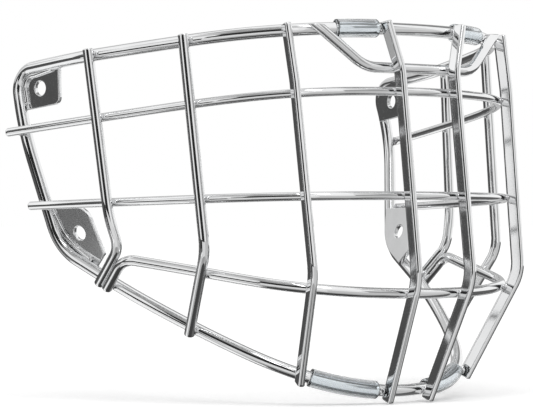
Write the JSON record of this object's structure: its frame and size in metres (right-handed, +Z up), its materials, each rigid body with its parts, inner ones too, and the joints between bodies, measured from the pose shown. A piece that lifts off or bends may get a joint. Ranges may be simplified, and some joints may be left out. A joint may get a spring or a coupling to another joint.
{
  "type": "goalie mask cage",
  "caption": "Welded chrome wire face cage for a hockey goalie mask, with side tabs for its screws and clear edge sleeves.",
  "frame": {"origin": "middle of the cage's width and depth at its lowest point", "axes": "+X to the wearer's left, -Y out of the front of the cage, +Z up"},
  "size_m": [0.224, 0.1482, 0.1545],
  "materials": {
    "wire_chrome": "mirror polished",
    "bar_chrome": "mirror polished",
    "tab_chrome": "polished",
    "clear_sleeve": "clear gloss"
  },
  "bodies": {
    "root": {"perimeter_wire": "wire_chrome", "brow_wire": "wire_chrome", "eye_wire": "wire_chrome", "nose_wire": "wire_chrome", "mouth_wire": "wire_chrome", "centre_bar_left": "bar_chrome", "centre_bar_right": "bar_chrome", "eye_bar_left": "bar_chrome", "eye_bar_right": "bar_chrome", "cheek_bar_left": "bar_chrome", "cheek_bar_right": "bar_chrome", "ear_bar_left": "bar_chrome", "ear_bar_right": "bar_chrome", "upper_tab_left": "tab_chrome", "upper_tab_right": "tab_chrome", "lower_tab_left": "tab_chrome", "lower_tab_right": "tab_chrome", "top_sleeve_left": "clear_sleeve", "top_sleeve_right": "clear_sleeve", "bottom_sleeve_left": "clear_sleeve", "bottom_sleeve_right": "clear_sleeve"}
  },
  "joints": []
}
